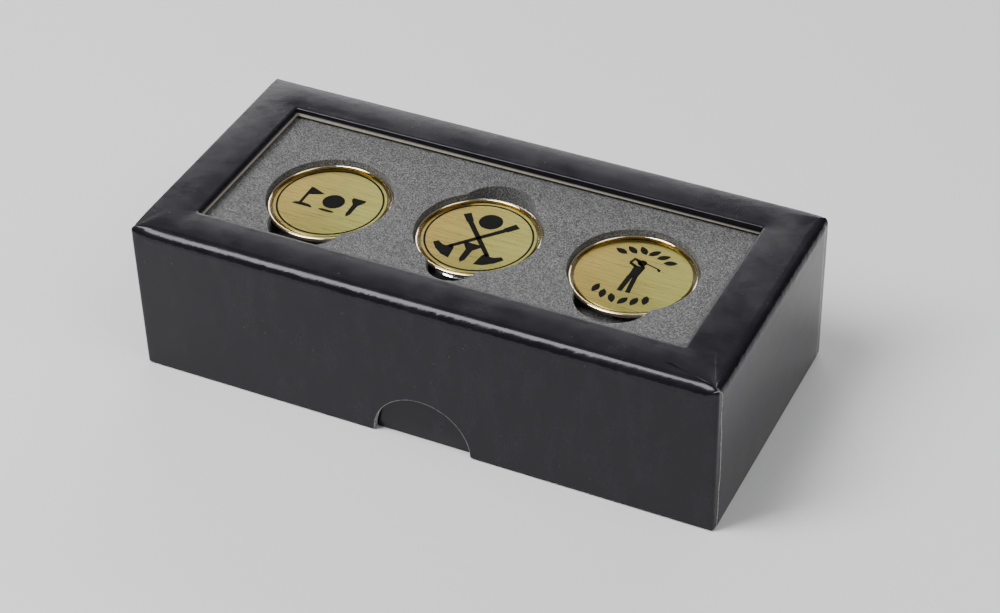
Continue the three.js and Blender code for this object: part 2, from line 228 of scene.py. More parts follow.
CORNER_SIGNS = np.array([(1, 1), (-1, 1), (-1, -1), (1, -1)])
SIDE_SHARES = [end_shares(), np.linspace(0, 1, LONG_SIDE_STEPS + 1)[1:-1], end_shares(), front_shares()]
STATIONS = make_stations()
SIDE_STARTS = np.cumsum([0] + [len(shares) + CORNER_STEPS + 1 for shares in SIDE_SHARES])


def skin(name, loops, materials, loop_materials=None, face_material=None, caps=(False, False), closed=False):
    """A surface through loops of points with equal counts. caps close its first and last loop."""
    count = len(loops[0])
    verts = np.concatenate(loops)
    faces, looks = [], []
    pairs = [(i, i + 1) for i in range(len(loops) - 1)]
    if closed:
        pairs.append((len(loops) - 1, 0))
    for low, high in pairs:
        for i in range(count):
            j = (i + 1) % count
            faces.append((low * count + i, low * count + j, high * count + j, high * count + i))
            look = loop_materials[low] if loop_materials else 0
            looks.append(face_material(i, look) if face_material else look)
    if caps[0]:
        faces.append(tuple(reversed(range(count))))
        looks.append(loop_materials[0] if loop_materials else 0)
    if caps[1]:
        last = (len(loops) - 1) * count
        faces.append(tuple(range(last, last + count)))
        looks.append(loop_materials[-1] if loop_materials else 0)
    return new_object(name, verts, faces, materials, looks)


def level(points, z):
    """The (x, y) points of an outline, at height z."""
    heights = np.full(len(points), z) if np.isscalar(z) else z
    return np.column_stack([points, heights])


def arc(centre, radius, start_deg, end_deg, steps):
    """Points on an arc, as pairs."""
    angles = np.radians(np.linspace(start_deg, end_deg, steps + 1))
    return [(centre[0] + radius * math.cos(a), centre[1] + radius * math.sin(a)) for a in angles]


def turned(name, profile, centre, z, materials, sides=ROUND_SIDES):
    """A piece turned about an upright axis, from (radius, height) points that start and end on the axis."""
    rings = profile[1:-1]
    angles = np.linspace(0, 2 * math.pi, sides, endpoint=False)
    verts, faces = [], []
    for radius, height in rings:
        for a in angles:
            verts.append((centre[0] + radius * math.cos(a), centre[1] + radius * math.sin(a), z + height))
    for ring in range(len(rings) - 1):
        for i in range(sides):
            j = (i + 1) % sides
            low, high = ring * sides, (ring + 1) * sides
            faces.append((low + i, low + j, high + j, high + i))
    for end, (_, height) in ((0, profile[0]), (len(rings) - 1, profile[-1])):
        verts.append((centre[0], centre[1], z + height))
        hub = len(verts) - 1
        for i in range(sides):
            j = (i + 1) % sides
            pair = (end * sides + j, end * sides + i) if end == 0 else (end * sides + i, end * sides + j)
            faces.append((*pair, hub))
    return new_object(name, verts, faces, materials)


def noise_wave(values, seed, waves):
    """A smooth random curve: a sum of sines with fixed random phases. waves are (period, height)."""
    draw = np.random.default_rng(seed)
    total = np.zeros_like(values)
    for period, height in waves:
        total += height * np.sin(2 * math.pi * values / period + draw.uniform(0, 2 * math.pi))
    return total


# ---- Materials --------------------


def new_material(name):
    look = bpy.data.materials.new(name)
    look.use_nodes = True
    tree = look.node_tree
    shader = tree.nodes["Principled BSDF"]
    return look, tree, shader


def node(tree, kind, inputs=None, **settings):
    made = tree.nodes.new(kind)
    for key, value in settings.items():
        setattr(made, key, value)
    for key, value in (inputs or {}).items():
        made.inputs[key].default_value = value
    return made


def object_coords(tree, scale=(1, 1, 1)):
    """Object coordinates, stretched."""
    coords = node(tree, "ShaderNodeTexCoord")
    mapping = node(tree, "ShaderNodeMapping", {"Scale": scale})
    tree.links.new(coords.outputs["Object"], mapping.inputs["Vector"])
    return mapping.outputs["Vector"]


def noise(tree, vector, scale, detail=3.0, roughness=0.6):
    made = node(tree, "ShaderNodeTexNoise", {"Scale": scale, "Detail": detail, "Roughness": roughness})
    tree.links.new(vector, made.inputs["Vector"])
    return made.outputs["Fac"]


def ramp(tree, value, stops):
    """A colour ramp with (position, grey or colour) stops."""
    made = node(tree, "ShaderNodeValToRGB")
    elements = made.color_ramp.elements
    while len(elements) < len(stops):
        elements.new(0.5)
    for element, (position, colour) in zip(elements, stops):
        element.position = position
        element.color = (colour, colour, colour, 1) if np.isscalar(colour) else (*colour, 1)
    tree.links.new(value, made.inputs["Fac"])
    return made.outputs["Color"]


def mix(tree, share, first, second):
    """Blends two colours, each a socket or a plain colour, by a socket or number."""
    made = node(tree, "ShaderNodeMix", data_type="RGBA")
    for socket, value in (("Factor", share), ("A", first), ("B", second)):
        places = [s for s in made.inputs if s.name == socket and s.enabled]
        if isinstance(value, bpy.types.NodeSocket):
            tree.links.new(value, places[0])
        elif socket == "Factor":
            places[0].default_value = value
        else:
            places[0].default_value = (*value, 1)
    return next(s for s in made.outputs if s.enabled)


def paint(tree, shader, tone):
    tree.links.new(tone, shader.inputs["Base Color"])


def bump(tree, shader, layers):
    """Chains bumps into the shader's normal. layers are (height socket, strength, distance)."""
    previous = None
    for height, strength, distance in layers:
        made = node(tree, "ShaderNodeBump", {"Strength": strength, "Distance": distance})
        tree.links.new(height, made.inputs["Height"])
        if previous is not None:
            tree.links.new(previous, made.inputs["Normal"])
        previous = made.outputs["Normal"]
    tree.links.new(previous, shader.inputs["Normal"])


def wrinkles(tree, vector):
    """Heights of the small wrinkles where the paper is stretched over the lid's top edges."""
    place = node(tree, "ShaderNodeSeparateXYZ")
    tree.links.new(vector, place.inputs["Vector"])
    rising = node(tree, "ShaderNodeMapRange", {"From Min": FOLD_ZONE[0], "From Max": FOLD_ZONE[1]})
    falling = node(tree, "ShaderNodeMapRange", {"From Min": FOLD_ZONE[3], "From Max": FOLD_ZONE[2]})
    for side in (rising, falling):
        tree.links.new(place.outputs["Z"], side.inputs["Value"])
    zone = node(tree, "ShaderNodeMath", operation="MULTIPLY")
    tree.links.new(rising.outputs["Result"], zone.inputs[0])
    tree.links.new(falling.outputs["Result"], zone.inputs[1])
    centred = node(tree, "ShaderNodeMath", {1: 0.5}, operation="SUBTRACT")
    tree.links.new(noise(tree, vector, 420, 3, 0.55), centred.inputs[0])
    height = node(tree, "ShaderNodeMath", operation="MULTIPLY")
    tree.links.new(zone.outputs[0], height.inputs[0])
    tree.links.new(centred.outputs[0], height.inputs[1])
    return height.outputs[0]


def coated_paper():
    """Black coated paper: glossy over a fine fibre grain, with faint scuffs and a little pale dust."""
    look, tree, shader = new_material("coated_paper")
    plain = object_coords(tree)
    scuffs = ramp(tree, noise(tree, object_coords(tree, (1, 1, 0.35)), 260, 5), [(0.45, 0.0), (0.75, 1.0)])
    base = mix(tree, scuffs, (0.0085, 0.0080, 0.0110), (0.0140, 0.0132, 0.0170))
    dust = node(tree, "ShaderNodeTexVoronoi", {"Scale": 520.0, "Randomness": 1.0})
    tree.links.new(plain, dust.inputs["Vector"])
    specks = ramp(tree, dust.outputs["Distance"], [(0.0, 1.0), (0.05, 1.0), (0.09, 0.0)])
    patches = ramp(tree, noise(tree, plain, 75, 2), [(0.52, 0.0), (0.66, 0.6)])
    dusty = node(tree, "ShaderNodeMath", operation="MULTIPLY")
    tree.links.new(specks, dusty.inputs[0])
    tree.links.new(patches, dusty.inputs[1])
    paint(tree, shader, mix(tree, dusty.outputs[0], base, (0.13, 0.13, 0.14)))
    rough = ramp(tree, noise(tree, plain, 160, 4), [(0.3, 0.15), (0.7, 0.22)])
    tree.links.new(rough, shader.inputs["Roughness"])
    shader.inputs["Specular IOR Level"].default_value = 0.28
    shader.inputs["Specular Tint"].default_value = (0.96, 0.93, 1.0, 1)
    bump(tree, shader, [
        (wrinkles(tree, plain), 1.0, 0.00018),
        (noise(tree, plain, 90, 2), 0.05, 0.0006),
        (noise(tree, plain, 620, 2), 0.12, 0.00010),
        (noise(tree, plain, 3000, 4), 0.12, 0.00003),
    ])
    return look


def grey_board():
    """Raw grey board: pale recycled fibres with darker flecks."""
    look, tree, shader = new_material("grey_board")
    fibres = noise(tree, object_coords(tree, (1, 1, 3)), 1500, 6, 0.7)
    stops = [(0.25, (0.24, 0.215, 0.175)), (0.55, (0.44, 0.40, 0.335)), (0.8, (0.62, 0.58, 0.50))]
    base = ramp(tree, fibres, stops)
    flecks = ramp(tree, noise(tree, object_coords(tree), 5200, 2), [(0.62, 0.0), (0.70, 0.7)])
    paint(tree, shader, mix(tree, flecks, base, (0.12, 0.11, 0.10)))
    shader.inputs["Roughness"].default_value = 0.9
    bump(tree, shader, [(fibres, 0.5, 0.0001)])
    return look


def liner_card():
    """The liner's cut edge: pale board, with painted shade that turns it black towards the top, under the
    lid's overhang.
    """
    look, tree, shader = new_material("liner_card")
    place = node(tree, "ShaderNodeSeparateXYZ")
    tree.links.new(object_coords(tree), place.inputs["Vector"])
    slope = node(tree, "ShaderNodeMath", {1: LINER_SLOPE}, operation="MULTIPLY")
    tree.links.new(place.outputs["X"], slope.inputs[0])
    level_here = node(tree, "ShaderNodeMath", operation="ADD")
    tree.links.new(slope.outputs[0], level_here.inputs[0])
    tree.links.new(place.outputs["Z"], level_here.inputs[1])
    share = node(tree, "ShaderNodeMapRange", {"From Min": LINER_SHADE_HEIGHTS[0], "From Max": LINER_SHADE_HEIGHTS[1]})
    tree.links.new(level_here.outputs[0], share.inputs["Value"])
    fibres = noise(tree, object_coords(tree, (1, 1, 2.5)), 2200, 5, 0.7)
    stops = [(0.3, (0.40, 0.375, 0.30)), (0.55, (0.56, 0.53, 0.44)), (0.75, (0.74, 0.71, 0.62))]
    # painted shade: the edge goes near black above these heights, where the lid's overhang shades it
    tone = mix(tree, share.outputs["Result"], ramp(tree, fibres, stops), (0.006, 0.006, 0.006))
    paint(tree, shader, tone)
    shader.inputs["Roughness"].default_value = 0.9
    shader.inputs["Specular IOR Level"].default_value = 0.2
    bump(tree, shader, [(fibres, 0.4, 0.0001)])
    return look


def board_edge():
    """The cut edge of the board at the notch: pale fibres and dark pits."""
    look, tree, shader = new_material("board_edge")
    pits = noise(tree, object_coords(tree), 3400, 4, 0.7)
    stops = [(0.42, (0.02, 0.02, 0.02)), (0.52, (0.20, 0.195, 0.19)), (0.62, (0.68, 0.67, 0.64))]
    paint(tree, shader, ramp(tree, pits, stops))
    shader.inputs["Roughness"].default_value = 0.85
    bump(tree, shader, [(pits, 0.5, 0.0001)])
    return look


def paper_core():
    """The white core of the coated paper, where a cut edge shows."""
    look, tree, shader = new_material("paper_core")
    fibres = noise(tree, object_coords(tree), 2600, 4)
    tone = ramp(tree, fibres, [(0.35, (0.10, 0.10, 0.10)), (0.65, (0.45, 0.44, 0.42))])
    paint(tree, shader, tone)
    shader.inputs["Roughness"].default_value = 0.8
    bump(tree, shader, [(fibres, 0.3, 0.00005)])
    return look


def stay_paper():
    """The brown paper tape of the corner stays."""
    look, tree, shader = new_material("stay_paper")
    fibres = noise(tree, object_coords(tree, (1, 1, 4)), 900, 5)
    tone = ramp(tree, fibres, [(0.3, (0.42, 0.36, 0.27)), (0.7, (0.60, 0.53, 0.42))])
    paint(tree, shader, tone)
    shader.inputs["Roughness"].default_value = 0.85
    bump(tree, shader, [(fibres, 0.3, 0.00005)])
    return look


def foam():
    """Fine-celled charcoal grey foam: pale and dark specks of single cells, over a dull base."""
    look, tree, shader = new_material("foam")
    plain = object_coords(tree)
    cells = noise(tree, plain, 4800, 3, 0.75)
    clumps = noise(tree, plain, 700, 3)
    stops = [(0.36, (0.013, 0.013, 0.013)), (0.50, (0.082, 0.082, 0.082)), (0.63, (0.305, 0.305, 0.300))]
    base = ramp(tree, cells, stops)
    tint = ramp(tree, clumps, [(0.3, 0.88), (0.7, 1.08)])
    scaled = node(tree, "ShaderNodeMix", data_type="RGBA", blend_type="MULTIPLY")
    sockets = [s for s in scaled.inputs if s.enabled]
    sockets[0].default_value = 1.0
    tree.links.new(base, sockets[1])
    tree.links.new(tint, sockets[2])
    paint(tree, shader, next(s for s in scaled.outputs if s.enabled))
    shader.inputs["Roughness"].default_value = 0.95
    shader.inputs["Specular IOR Level"].default_value = 0.25
    shader.inputs["Sheen Weight"].default_value = 0.15
    bump(tree, shader, [(clumps, 0.25, 0.0003), (cells, 0.8, 0.0002)])
    return look


def gold_plate():
    """Polished gold plate over a stamped dish: mirror-bright, with faint waves and fine scratches."""
    look, tree, shader = new_material("gold_plate")
    plain = object_coords(tree)
    shader.inputs["Metallic"].default_value = 1.0
    tone = ramp(tree, noise(tree, plain, 90, 2), [(0.35, (0.80, 0.66, 0.43)), (0.65, (0.88, 0.76, 0.54))])
    paint(tree, shader, tone)
    rough = ramp(tree, noise(tree, plain, 900, 4), [(0.3, 0.06), (0.75, 0.14)])
    tree.links.new(rough, shader.inputs["Roughness"])
    waves = noise(tree, plain, 160, 2)
    scratches = noise(tree, plain, 2600, 3)
    bump(tree, shader, [(waves, 0.12, 0.0003), (scratches, 0.05, 0.00003)])
    return look


def brushed_brass():
    """Brass-coloured sheet, brushed along the box's length, with a painted reflection: warm on the left,
    olive on the right.
    """
    look, tree, shader = new_material("brushed_brass")
    lines = noise(tree, object_coords(tree, (0.018, 1, 1)), 5200, 3, 0.7)
    bands = noise(tree, object_coords(tree, (0.05, 1, 1)), 420, 2)
    shader.inputs["Metallic"].default_value = 1.0
    stops = [(0.3, (0.25, 0.175, 0.036)), (0.5, (0.31, 0.225, 0.052)), (0.7, (0.38, 0.285, 0.076))]
    warm_reflection_tone = ramp(tree, lines, stops)
    stops = [(0.3, (0.24, 0.222, 0.050)), (0.5, (0.29, 0.272, 0.066)), (0.7, (0.35, 0.332, 0.094))]
    olive_reflection_tone = ramp(tree, lines, stops)
    place = node(tree, "ShaderNodeSeparateXYZ")
    tree.links.new(node(tree, "ShaderNodeTexCoord").outputs["Generated"], place.inputs["Vector"])
    # painted reflection: warm on the disc's left, olive on its right, as from the room it reflects
    base = mix(tree, ramp(tree, place.outputs["X"], [(0.1, 0.0), (0.8, 1.0)]), warm_reflection_tone, olive_reflection_tone)
    tone = mix(tree, ramp(tree, bands, [(0.4, 0.0), (0.7, 0.15)]), base, (0.33, 0.27, 0.08))
    paint(tree, shader, tone)
    rough = ramp(tree, lines, [(0.3, 0.25), (0.7, 0.36)])
    tree.links.new(rough, shader.inputs["Roughness"])
    shader.inputs["Anisotropic"].default_value = 0.5
    bump(tree, shader, [(lines, 0.25, 0.00003)])
    return look


def ink():
    """Matt black fill in the engraving."""
    look, tree, shader = new_material("engraving_fill")
    grain = noise(tree, object_coords(tree), 4200, 3)
    tone = ramp(tree, grain, [(0.3, (0.003, 0.003, 0.003)), (0.7, (0.007, 0.007, 0.006))])
    paint(tree, shader, tone)
    shader.inputs["Roughness"].default_value = 0.75
    shader.inputs["Specular IOR Level"].default_value = 0.08
    bump(tree, shader, [(grain, 0.3, 0.00003)])
    return look


def tape():
    """White double-sided tape."""
    look, tree, shader = new_material("tape")
    grain = noise(tree, object_coords(tree), 1500, 3)
    tone = ramp(tree, grain, [(0.3, (0.66, 0.64, 0.58)), (0.7, (0.78, 0.76, 0.70))])
    paint(tree, shader, tone)
    shader.inputs["Roughness"].default_value = 0.7
    bump(tree, shader, [(grain, 0.2, 0.00003)])
    return look


def steel(name, colour, low, high, stretch=(1, 1, 1), scale=1800):
    """Bare or plated steel with a fine grain."""
    look, tree, shader = new_material(name)
    grain = noise(tree, object_coords(tree, stretch), scale, 4)
    shader.inputs["Metallic"].default_value = 1.0
    darker = tuple(0.86 * c for c in colour)
    paint(tree, shader, ramp(tree, grain, [(0.3, darker), (0.7, colour)]))
    tree.links.new(ramp(tree, grain, [(0.3, low), (0.7, high)]), shader.inputs["Roughness"])
    bump(tree, shader, [(grain, 0.08, 0.00003)])
    return look


def table_top():
    """The pale floor of the studio."""
    look, tree, shader = new_material("table_top")
    tone = ramp(tree, noise(tree, object_coords(tree), 3, 2), [(0.3, 0.80), (0.7, 0.82)])
    paint(tree, shader, tone)
    shader.inputs["Roughness"].default_value = 0.9
    shader.inputs["Specular IOR Level"].default_value = 0.2
    return look


LOOKS = {
    "black_paper": coated_paper(),
    "grey_board": grey_board(),
    "board_edge": board_edge(),
    "liner_card": liner_card(),
    "paper_core": paper_core(),
    "stay_paper": stay_paper(),
    "foam": foam(),
    "gold_plate": gold_plate(),
    "brushed_brass": brushed_brass(),
    "ink": ink(),
    "tape": tape(),
    "nickel_plate": steel("nickel_plate", (0.78, 0.78, 0.80), 0.08, 0.18),
    "spring_steel": steel("spring_steel", (0.60, 0.61, 0.63), 0.20, 0.32, (1, 0.05, 1), 3000),
    "magnet": steel("magnet", (0.62, 0.63, 0.65), 0.18, 0.28),
}

# ---- The lid's and tray's paper --------------------

LID_LOW, LID_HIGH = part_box("lid_wrap")
TRAY_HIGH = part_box("tray_wrap")[1]
FOAM_LOW, FOAM_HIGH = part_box("foam_insert")
LID_BOTTOM = LID_LOW.z
LID_TOP = LID_HIGH.z
HEM_TOP = LID_BOTTOM + TURN_IN


def lid_outline(inset=0.0):
    return outline(LID_HIGH.x, LID_HIGH.y, LEAST_RADIUS, CORNER_RADIUS, inset)


LID_EDGE = lid_outline()
SKIRT_STEPS = np.linalg.norm(np.diff(LID_EDGE, axis=0, append=LID_EDGE[:1]), axis=1)
AROUND = np.concatenate([[0], np.cumsum(SKIRT_STEPS)[:-1]])  # distance round the lid's edge at each point


def by_side(values):
    """A value at each point of the lid's edge from values for its right, back, left and front."""
    x, y = LID_EDGE.T
    gaps = np.stack([LID_HIGH.x - x, LID_HIGH.y - y, x + LID_HIGH.x, y + LID_HIGH.y])
    weights = np.exp(-gaps / SIDE_BLEND)
    return np.array(values) @ weights / weights.sum(0)


def fold_radii():
    """The radius of the lid's top edge at each point: tight at the back, the left and the front corners."""
    x, y = LID_EDGE.T
    radii = by_side(FOLD_RADII)
    for side in (-1, 1):
        away = np.hypot(x - side * LID_HIGH.x, y + LID_HIGH.y)
        radii += (POINTED_FOLD - radii) * np.exp(-((away / POINTED_LENGTH) ** 2))
    return radii


EDGE_RADII = fold_radii()
WINDOW_RADII = by_side(WINDOW_FOLDS)


def seam_insets():
    """How far the paper beside the corners lies under the end flaps, at each point of the lid's edge."""
    insets = np.zeros(len(LID_EDGE))
    for side in (0, 2):
        first, last = SIDE_STARTS[side], SIDE_STARTS[side + 1] - CORNER_STEPS - 2
        insets[[first, first + 1, last, last - 1]] = SEAM_STEP
        for corner in (first - 1, last + 1):
            away = 1 if corner > last else -1
            for step in range(CORNER_STEPS + 1):
                insets[corner + away * step] = SEAM_STEP * (1 - step / CORNER_STEPS)
    return insets


SEAM_INSETS = seam_insets()


def wavy_seams(flat, z):
    """Moves the seams a little along the lid's ends, so that they run like a hand-cut edge."""
    moved = flat.copy()
    for number, side in enumerate((0, 2)):
        first, last = SIDE_STARTS[side], SIDE_STARTS[side + 1] - CORNER_STEPS - 2
        for end, points in enumerate(([first, first + 1, first + 2], [last - 2, last - 1, last])):
            waves = [(31 * MM, 0.3 * MM), (9 * MM, 0.12 * MM), (2.3 * MM, 0.05 * MM)]
            moved[points, 1] += noise_wave(z[points], 40 + 2 * number + end, waves)
    return moved


def window_loop(margin, z):
    flat = outline(*WINDOW, WINDOW_LEAST_RADIUS, WINDOW_CORNER, -margin)
    return level(flat + np.array(WINDOW_MIDDLE), z)


def lid_dip(margin):
    """How far the lid's top lies below its highest level, at a margin round the window."""
    return WINDOW_DIP * np.exp(-((margin / WINDOW_DIP_WIDTH) ** 2))


def loose(height):
    """Gentle waves of paper that is stretched over an edge, at a height below the lid's top."""
    crest = math.exp(-((height - LOOSE_CREST[0]) / LOOSE_CREST[1]) ** 2)
    sag = noise_wave(AROUND, 11, [(23 * MM, 0.5), (11 * MM, 0.35), (6.1 * MM, 0.25), (3.3 * MM, 0.12)])
    lower = math.exp(-((height - LOOSE_LOWER[0]) / LOOSE_LOWER[1]) ** 2)
    ripple = noise_wave(AROUND, 12, [(17 * MM, 0.5), (7.3 * MM, 0.35), (3.9 * MM, 0.2), (2.1 * MM, 0.1)])
    return LOOSE_DEPTH * (crest * (1.2 - sag) + lower * (1.15 - ripple))


def fold_loop(angle, depth):
    """A loop round the lid's rounded top edge, at an angle from its side and a depth under the skin."""
    radii = np.maximum(EDGE_RADII - depth, LEAST_FOLD)
    heights = LID_TOP - depth - radii * (1 - math.sin(angle))
    sag = loose(LOOSE_REACH * (1 - math.sin(angle)))
    share = math.cos(angle)
    flat = lid_outline(depth + radii * (1 - share) + share * (SEAM_INSETS + sag))
    return level(wavy_seams(flat, heights), heights - (1 - share) * 0.5 * sag)


def skirt_loop(inset, share):
    """A loop round the lid's skirt, that share of the way from the rounded edge down to the turn-in."""
    top = LID_TOP - EDGE_RADII
    heights = top + share * (HEM_TOP - top)
    flat = lid_outline(inset + SEAM_INSETS + loose(LOOSE_REACH + share * (LID_TOP - HEM_TOP)))
    return level(wavy_seams(flat, heights), heights)


def hem_loop(inset, share, notch_radius, outer=True):
    """A loop round the skirt, that share of the way from its notched lower edge up to the turn-in."""
    low = LID_BOTTOM + notch_lift(notch_radius)
    heights = low + share * (HEM_TOP - low)
    flat = lid_outline(inset + (SEAM_INSETS if outer else 0.0))
    return level(wavy_seams(flat, heights), heights)


def notch_lift(radius):
    """How far the notch lifts the skirt's lower edge at each point of the lid's edge."""
    x, y = LID_EDGE.T
    inside = np.clip(radius**2 - (x - NOTCH_X) ** 2, 0, None)
    lift = NOTCH_Z + np.sqrt(inside) - LID_BOTTOM
    return np.where((inside > 0) & (y < -LID_HIGH.y + 3 * MM), np.maximum(lift, 0), 0)


def make_lid_wrap():
    """The lid's paper, from the window's underside over the top and the skirt to the lining, and back.

    Each row is a loop and the number of its material at the notch."""
    under = LID_TOP - PAPER - BOARD
    lining = 2 * PAPER + BOARD
    frayed = NOTCH_RADIUS + NOTCH_FRAY
    rows = [(window_loop(WINDOW_TURN_IN, under - PAPER), 0), (window_loop(0.4 * MM, under - PAPER), 0)]
    rows += [(window_loop(0.15 * MM - x, under - y), 0) for x, y in arc((0, 0), 0.15 * MM, 90, 0, 3)[1:]]
    edge_top = LID_TOP - lid_dip(WINDOW_RADII)
    for angle in np.radians(np.linspace(0, 90, 9)):
        margin = WINDOW_RADII * (1 - math.cos(angle))
        rows.append((window_loop(margin, edge_top - WINDOW_RADII * (1 - math.sin(angle))), 0))
    for margin in (1.1 * MM, 1.6 * MM, 2.3 * MM, 3.2 * MM, 4.5 * MM, 6.0 * MM):
        rows.append((window_loop(margin, LID_TOP - lid_dip(margin)), 0))
    for angle in np.radians(np.linspace(90, 0, 17)):
        rows.append((fold_loop(angle, 0.0), 0))
    for share in (0.02, 0.05, 0.09, 0.14, 0.2, 0.3, 0.45, 0.6, 0.8, 1.0):
        rows.append((skirt_loop(0.0, share), 0))
    for share in (0.75, 0.5, 0.25, 0.08):
        rows.append((hem_loop(0.0, share, frayed), 0))
    rows += [
        (hem_loop(0.0, 0.0, frayed), 1),
        (hem_loop(0.04 * MM, 0.0, NOTCH_RADIUS), 1),
        (hem_loop(PAPER, 0.0, NOTCH_RADIUS, False), 2),
        (hem_loop(PAPER + BOARD, 0.0, NOTCH_RADIUS, False), 1),
        (hem_loop(lining, 0.0, NOTCH_RADIUS, False), 0),
    ]
    for share in (0.02, 0.25, 0.5, 0.75, 1.0):
        rows.append((hem_loop(lining, share, NOTCH_RADIUS, False), 0))
    for inset, share in ((PAPER + BOARD, 1.0), (PAPER + BOARD, 0.01), (PAPER, 0.01), (PAPER, 1.0)):
        rows.append((hem_loop(inset, share, NOTCH_RADIUS, False), 0))
    for angle in np.radians(np.linspace(0, 90, 7)):
        rows.append((fold_loop(angle, PAPER), 0))
    rows.append((window_loop(2 * WINDOW_RADII, LID_TOP - lid_dip(2 * WINDOW_RADII) - PAPER), 0))
    rows.append((window_loop(PAPER + 0.3 * WINDOW_RADII, edge_top - 0.3 * WINDOW_RADII - PAPER), 0))
    rows.append((window_loop(PAPER, edge_top - 0.8 * WINDOW_RADII - PAPER), 0))
    rows.append((window_loop(PAPER, under), 0))
    rows.append((window_loop(WINDOW_TURN_IN, under), 0))
    cut = notch_lift(frayed) > 0
    cut |= np.roll(cut, -1)

    def look_at(i, look):
        return look if cut[i] and cut[(i + 1) % len(cut)] else 0

    materials = [LOOKS["black_paper"], LOOKS["paper_core"], LOOKS["board_edge"]]
    loops, looks = zip(*rows)
    wrap = skin("lid_wrap_paper", loops, materials, looks, look_at, closed=True)
    paint_seams(wrap, len(LID_EDGE))
    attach(wrap, "lid")
    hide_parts("lid_wrap")


def paint_seams(wrap, count):
    """Gives the cut edges of the end flaps, on the outer skin, the look of the paper's core."""
    steps = []
    for side in (0, 2):
        first, last = SIDE_STARTS[side], SIDE_STARTS[side + 1] - CORNER_STEPS - 2
        steps += [first + 1, last - 2]
    top = LID_TOP - 0.4 * MM
    for number, face in enumerate(wrap.data.polygons):
        outside = abs(face.center.x) > LID_HIGH.x - SKIN_DEPTH and abs(face.normal.z) < 0.9
        if number % count in steps and outside and LID_BOTTOM < face.center.z < top:
            face.material_index = 1


def make_lid_board():
    """The lid's board, inside the paper: it shows where the lid is looked at from below."""
    under = LID_TOP - PAPER - BOARD
    inner = PAPER + BOARD
    edge_top = LID_TOP - lid_dip(WINDOW_RADII) - 1.2 * PAPER
    loops = [window_loop(1.2 * PAPER, under), window_loop(1.2 * PAPER, edge_top - 0.8 * WINDOW_RADII)]
    loops.append(window_loop(1.2 * PAPER + 0.3 * WINDOW_RADII, edge_top - 0.3 * WINDOW_RADII))
    loops.append(window_loop(1.2 * PAPER + WINDOW_RADII, edge_top))
    loops.append(window_loop(4 * MM, LID_TOP - 1.1 * PAPER))
    loops += [fold_loop(angle, 1.1 * PAPER) for angle in np.radians(np.linspace(90, 0, 6))]
    loops += [hem_loop(1.1 * PAPER, share, NOTCH_RADIUS) for share in (1.0, 0.012)]
    loops += [hem_loop(inner, share, NOTCH_RADIUS, False) for share in (0.012, 1.0)]
    loops += [level(lid_outline(inner), under - 0.5 * MM), level(lid_outline(inner + 0.2 * MM), under)]
    board = skin("lid_board_card", loops, [LOOKS["grey_board"]], closed=True)
    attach(board, "lid")
    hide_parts("lid_board")


def make_liner():
    """The card frame under the lid's top: its cut edge shows in the window, its foot a little set back."""
    low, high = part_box("lid_window_liner")
    foot = low.z + 0.42 * MM
    edge = lid_outline(LID_HIGH.x - high.x)
    loops = [window_loop(0.02 * MM, high.z), window_loop(0.02 * MM, foot)]
    loops += [window_loop(0.35 * MM, foot - 0.02 * MM), window_loop(0.4 * MM, low.z)]
    loops += [level(edge, low.z), level(edge, high.z)]
    liner = skin("lid_window_card", loops[::-1], [LOOKS["liner_card"]], closed=True)
    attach(liner, "lid")
    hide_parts("lid_window_liner")


def make_corner_highlight_strip():
    """A painted highlight: a thin pale strip laid round the lid's front right corner."""
    path = [Vector(p) * MM for p in HIGHLIGHT_STRIP_PATH]
    sides = np.linspace(0, 2 * math.pi, 8, endpoint=False)
    loops = []
    for i, point in enumerate(path):
        along = (path[min(i + 1, len(path) - 1)] - path[max(i - 1, 0)]).normalized()
        across = along.cross(Vector((0, 0, 1))).normalized()
        up = across.cross(along)
        width = HIGHLIGHT_STRIP_WIDTH * (0.45 if i in (0, len(path) - 1) else 1.0)
        ring = [point + width * (math.cos(a) * across + 0.5 * math.sin(a) * up) for a in sides]
        loops.append(np.array(ring))
    # painted highlight: the strip's pale paper core stands for light caught on the corner
    highlight_strip = skin("lid_corner_highlight_strip", loops, [LOOKS["paper_core"]], caps=(True, True))
    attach(highlight_strip, "lid")


def make_tray_wrap():
    """The tray's paper: the underside, the walls, the rim and the lining, round the board."""
    rim = TRAY_HIGH.z

    def ring(inset, z):
        return level(outline(TRAY_HIGH.x, TRAY_HIGH.y, LEAST_RADIUS, TRAY_CORNER_RADIUS, inset), z)

    middle = TRAY_HIGH.y - 0.5 * MM
    loops = [ring(middle, 0), ring(2 * MM, 0)]
    for angle in np.radians(np.linspace(-90, 0, 5)):
        loops.append(ring(TRAY_FOOT_FOLD * (1 - math.cos(angle)), TRAY_FOOT_FOLD * (1 + math.sin(angle))))
    loops += [ring(0, z) for z in np.linspace(TRAY_FOOT_FOLD, rim - TRAY_RIM_FOLD, 9)[1:]]
    for angle in np.radians(np.linspace(0, 90, 5)[1:]):
        inset = TRAY_RIM_FOLD * (1 - math.cos(angle))
        loops.append(ring(inset, rim - TRAY_RIM_FOLD * (1 - math.sin(angle))))
    lining = 2 * PAPER + BOARD
    loops += [ring(lining - 0.1 * MM, rim), ring(lining, rim - 0.1 * MM)]
    loops += [ring(lining, rim - TURN_IN), ring(PAPER + BOARD, rim - TURN_IN)]
    loops += [ring(PAPER + BOARD, rim - PAPER)]
    loops += [ring(PAPER, rim - PAPER), ring(PAPER, PAPER), ring(middle, PAPER)]
    wrap = skin("tray_wrap_paper", loops, [LOOKS["black_paper"]], caps=(True, True))
    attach(wrap, "tray")
    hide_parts("tray_wrap")


# ---- The foam --------------------


def centre_of(name):
    low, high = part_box(name)
    return ((low.x + high.x) / 2, (low.y + high.y) / 2)


def cutter(radius, bottom, top, centre):
    """A round tool for cutting the foam."""
    profile = [(0, 0), (radius, 0), (radius, top - bottom), (0, top - bottom)]
    return turned("cutter", profile, centre, bottom, [], sides=CUTTER_SIDES)


